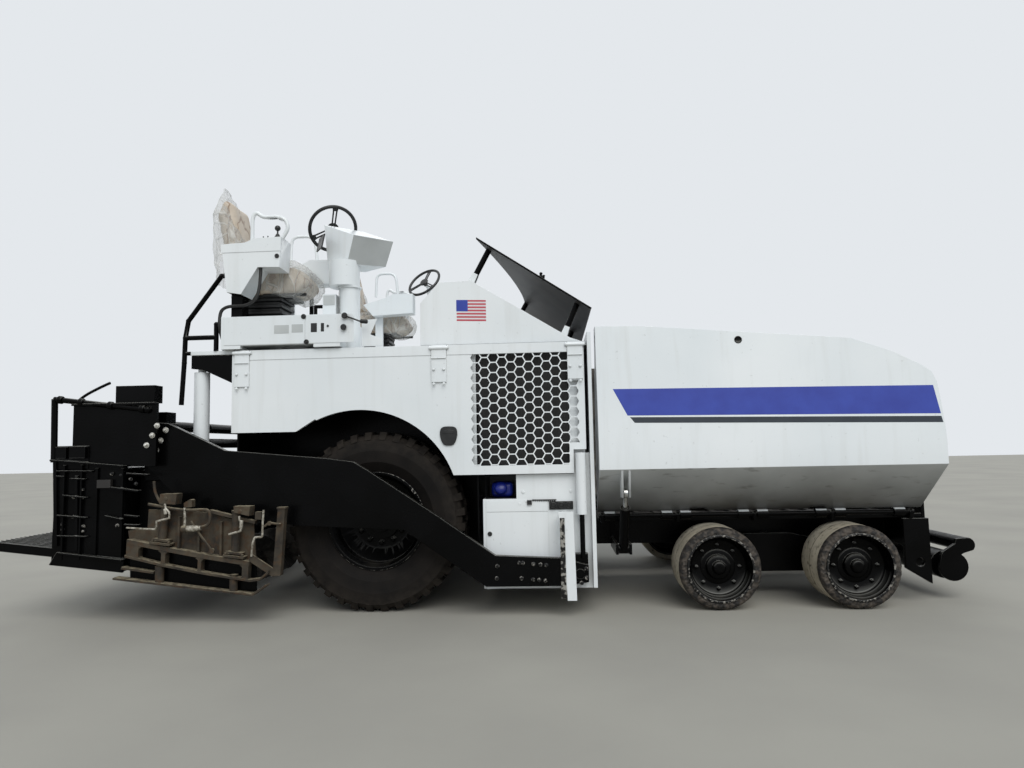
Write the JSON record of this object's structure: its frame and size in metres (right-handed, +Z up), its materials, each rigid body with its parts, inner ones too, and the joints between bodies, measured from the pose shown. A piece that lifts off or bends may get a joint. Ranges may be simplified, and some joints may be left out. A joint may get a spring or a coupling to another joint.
{
  "type": "asphalt paver",
  "caption": "Wheeled asphalt paver with a folding hopper, high twin operator stations, twin augers and a towed extendable screed.",
  "frame": {"origin": "middle of the machine's box at floor level", "axes": "+X forward to the hopper, +Y to the machine's left, +Z up"},
  "size_m": [7.2386, 3.372, 3.3203],
  "materials": {
    "white_paint": "gloss enamel",
    "black_paint": "gloss enamel",
    "grey_steel": "worn bare steel",
    "rusty_steel": "worn and rusty",
    "drive_rubber": "worn rubber",
    "solid_rubber": "dusty rubber",
    "chrome": "polished",
    "blue_plastic": "moulded",
    "seat_cover": "vinyl under a clear film",
    "hose_rubber": "ribbed sleeve",
    "wheel_plastic": "moulded grip"
  },
  "bodies": {
    "tractor": {"main_frame": "black_paint", "hopper_sills": "black_paint", "auger_case": "black_paint", "conveyors": "grey_steel", "engine_block": "grey_steel", "drive_axle": "black_paint", "bogie_beams": "black_paint", "push_beam": "black_paint", "body_shell": "white_paint", "deck": "white_paint", "cowl": "white_paint", "deflector": "black_paint", "hand_rails": "black_paint", "fluid_tank": "blue_plastic", "console_hoses": "hose_rubber", "side_cabinet_left": "white_paint", "side_cabinet_right": "white_paint", "station_left": "white_paint", "station_right": "white_paint", "seat_left": "seat_cover", "seat_right": "seat_cover", "hopper_apron": "black_paint", "levelling_cylinders": "white_paint"},
    "screed": {"main_screed": "black_paint", "tow_arm_left": "black_paint", "tow_arm_right": "black_paint"},
    "knuckle_rear_left": {"knuckle_rear_left": "black_paint"},
    "front_wheel_rear_left": {"front_wheel_rear_left": "solid_rubber"},
    "knuckle_rear_right": {"knuckle_rear_right": "black_paint"},
    "front_wheel_rear_right": {"front_wheel_rear_right": "solid_rubber"},
    "knuckle_front_left": {"knuckle_front_left": "black_paint"},
    "front_wheel_front_left": {"front_wheel_front_left": "solid_rubber"},
    "knuckle_front_right": {"knuckle_front_right": "black_paint"},
    "front_wheel_front_right": {"front_wheel_front_right": "solid_rubber"},
    "drive_wheel_left": {"drive_tyre_left": "drive_rubber", "drive_rim_left": "black_paint"},
    "push_roller_left": {"push_roller_left": "black_paint"},
    "auger_left": {"auger_left": "grey_steel"},
    "steering_wheel_left": {"steering_wheel_left": "wheel_plastic"},
    "side_door_left": {"side_door_left": "white_paint"},
    "hopper_wing_left": {"hopper_wing_left": "white_paint"},
    "wing_barrel_left": {"wing_barrel_left": "black_paint"},
    "wing_rod_left": {"wing_rod_left": "chrome"},
    "drive_wheel_right": {"drive_tyre_right": "drive_rubber", "drive_rim_right": "black_paint"},
    "push_roller_right": {"push_roller_right": "black_paint"},
    "auger_right": {"auger_right": "grey_steel"},
    "steering_wheel_right": {"steering_wheel_right": "wheel_plastic"},
    "side_door_right": {"side_door_right": "white_paint"},
    "hopper_wing_right": {"hopper_wing_right": "white_paint"},
    "wing_barrel_right": {"wing_barrel_right": "black_paint"},
    "wing_rod_right": {"wing_rod_right": "chrome"},
    "extension_left": {"screed_extension_left": "black_paint", "end_gate_left": "rusty_steel"},
    "lift_barrel_left": {"lift_barrel_left": "white_paint"},
    "lift_rod_left": {"lift_rod_left": "chrome"},
    "extension_right": {"screed_extension_right": "black_paint", "end_gate_right": "rusty_steel"},
    "lift_barrel_right": {"lift_barrel_right": "white_paint"},
    "lift_rod_right": {"lift_rod_right": "chrome"}
  },
  "joints": [
    {"name": "steer_rear_left", "type": "hinge", "parent": "tractor", "child": "knuckle_rear_left", "pos_m": [1.69, 0.9, 0.295], "axis": [0, 0, 1], "range_deg": [-18, 18]},
    {"name": "spin_rear_left", "type": "hinge", "parent": "knuckle_rear_left", "child": "front_wheel_rear_left", "pos_m": [1.69, 1.16, 0.295], "axis": [0, 1, 0], "continuous": true},
    {"name": "steer_rear_right", "type": "hinge", "parent": "tractor", "child": "knuckle_rear_right", "pos_m": [1.69, -0.9, 0.295], "axis": [0, 0, 1], "range_deg": [-18, 18]},
    {"name": "spin_rear_right", "type": "hinge", "parent": "knuckle_rear_right", "child": "front_wheel_rear_right", "pos_m": [1.69, -1.16, 0.295], "axis": [0, 1, 0], "continuous": true},
    {"name": "steer_front_left", "type": "hinge", "parent": "tractor", "child": "knuckle_front_left", "pos_m": [2.67, 0.9, 0.295], "axis": [0, 0, 1], "range_deg": [-18, 18]},
    {"name": "spin_front_left", "type": "hinge", "parent": "knuckle_front_left", "child": "front_wheel_front_left", "pos_m": [2.67, 1.16, 0.295], "axis": [0, 1, 0], "continuous": true},
    {"name": "steer_front_right", "type": "hinge", "parent": "tractor", "child": "knuckle_front_right", "pos_m": [2.67, -0.9, 0.295], "axis": [0, 0, 1], "range_deg": [-18, 18]},
    {"name": "spin_front_right", "type": "hinge", "parent": "knuckle_front_right", "child": "front_wheel_front_right", "pos_m": [2.67, -1.16, 0.295], "axis": [0, 1, 0], "continuous": true},
    {"name": "drive_spin_left", "type": "hinge", "parent": "tractor", "child": "drive_wheel_left", "pos_m": [-0.82, 1.1075, 0.665], "axis": [0, 1, 0], "continuous": true},
    {"name": "roller_spin_left", "type": "hinge", "parent": "tractor", "child": "push_roller_left", "pos_m": [3.47, 0.51, 0.24], "axis": [0, 1, 0], "continuous": true},
    {"name": "auger_spin_left", "type": "hinge", "parent": "tractor", "child": "auger_left", "pos_m": [-1.86, 0.75, 0.37], "axis": [0, 1, 0], "continuous": true},
    {"name": "helm_left", "type": "hinge", "parent": "tractor", "child": "steering_wheel_left", "pos_m": [-0.84, 1, 3], "axis": [-0.3909, -0.7217, 0.5713], "continuous": true},
    {"name": "door_left", "type": "hinge", "parent": "tractor", "child": "side_door_left", "pos_m": [-0.316, 1.422, 1.943], "axis": [1, 0, 0], "range_deg": [0, 85]},
    {"name": "wing_fold_left", "type": "hinge", "parent": "tractor", "child": "hopper_wing_left", "pos_m": [2.035, 1.1, 0.66], "axis": [1, 0, 0], "range_deg": [0, 45]},
    {"name": "wing_barrel_swing_left", "type": "hinge", "parent": "tractor", "child": "wing_barrel_left", "pos_m": [1.02, 1.15, 0.42], "axis": [1, 0, 0], "range_deg": [0, 29.29]},
    {"name": "wing_rod_slide_left", "type": "slide", "parent": "wing_barrel_left", "child": "wing_rod_left", "axis": [0, 0.5591, 0.8291], "range_m": [0, 0.10067]},
    {"name": "drive_spin_right", "type": "hinge", "parent": "tractor", "child": "drive_wheel_right", "pos_m": [-0.82, -1.1075, 0.665], "axis": [0, 1, 0], "continuous": true},
    {"name": "roller_spin_right", "type": "hinge", "parent": "tractor", "child": "push_roller_right", "pos_m": [3.47, -0.51, 0.24], "axis": [0, 1, 0], "continuous": true},
    {"name": "auger_spin_right", "type": "hinge", "parent": "tractor", "child": "auger_right", "pos_m": [-1.86, -0.75, 0.37], "axis": [0, 1, 0], "continuous": true},
    {"name": "helm_right", "type": "hinge", "parent": "tractor", "child": "steering_wheel_right", "pos_m": [-1.24, -1, 3], "axis": [-0.3909, 0.7217, 0.5713], "continuous": true},
    {"name": "door_right", "type": "hinge", "parent": "tractor", "child": "side_door_right", "pos_m": [-0.316, -1.422, 1.943], "axis": [-1, 0, 0], "range_deg": [0, 85]},
    {"name": "wing_fold_right", "type": "hinge", "parent": "tractor", "child": "hopper_wing_right", "pos_m": [2.035, -1.1, 0.66], "axis": [-1, 0, 0], "range_deg": [0, 45]},
    {"name": "wing_barrel_swing_right", "type": "hinge", "parent": "tractor", "child": "wing_barrel_right", "pos_m": [1.02, -1.15, 0.42], "axis": [-1, 0, 0], "range_deg": [0, 29.29]},
    {"name": "wing_rod_slide_right", "type": "slide", "parent": "wing_barrel_right", "child": "wing_rod_right", "axis": [0, -0.5591, 0.8291], "range_m": [0, 0.10067]},
    {"name": "screed_lift", "type": "hinge", "parent": "tractor", "child": "screed", "pos_m": [0.68, 0, 0.3], "axis": [0, 1, 0], "range_deg": [-4.4, 1.5]},
    {"name": "extension_slide_left", "type": "slide", "parent": "screed", "child": "extension_left", "axis": [0, 1, 0], "range_m": [0, 1.15]},
    {"name": "lift_barrel_swing_left", "type": "hinge", "parent": "tractor", "child": "lift_barrel_left", "pos_m": [-2.165, 1.3, 1.885], "axis": [0, 1, 0], "range_deg": [-1.41, 3.54]},
    {"name": "lift_rod_slide_left", "type": "slide", "parent": "lift_barrel_left", "child": "lift_rod_left", "axis": [0, 0, -1], "range_m": [-0.07878, 0.22528]},
    {"name": "extension_slide_right", "type": "slide", "parent": "screed", "child": "extension_right", "axis": [0, -1, 0], "range_m": [0, 1.15]},
    {"name": "lift_barrel_swing_right", "type": "hinge", "parent": "tractor", "child": "lift_barrel_right", "pos_m": [-2.165, -1.3, 1.885], "axis": [0, 1, 0], "range_deg": [-1.41, 3.54]},
    {"name": "lift_rod_slide_right", "type": "slide", "parent": "lift_barrel_right", "child": "lift_rod_right", "axis": [0, 0, -1], "range_m": [-0.07878, 0.22528]}
  ],
  "couplings": [
    {"joint": "steer_rear_right", "follows": "steer_rear_left", "ratio": 1},
    {"joint": "steer_front_left", "follows": "steer_rear_left", "ratio": 1},
    {"joint": "steer_front_right", "follows": "steer_rear_left", "ratio": 1},
    {"joint": "wing_barrel_swing_left", "follows": "wing_fold_left", "ratio": 0.63968},
    {"joint": "wing_rod_slide_left", "follows": "wing_fold_left", "m_per_rad": 0.12562},
    {"joint": "wing_barrel_swing_right", "follows": "wing_fold_right", "ratio": 0.63968},
    {"joint": "wing_rod_slide_right", "follows": "wing_fold_right", "m_per_rad": 0.12562},
    {"joint": "lift_barrel_swing_left", "follows": "screed_lift", "ratio": -0.73713},
    {"joint": "lift_rod_slide_left", "follows": "screed_lift", "m_per_rad": -2.8944},
    {"joint": "lift_barrel_swing_right", "follows": "screed_lift", "ratio": -0.73713},
    {"joint": "lift_rod_slide_right", "follows": "screed_lift", "m_per_rad": -2.8944}
  ]
}
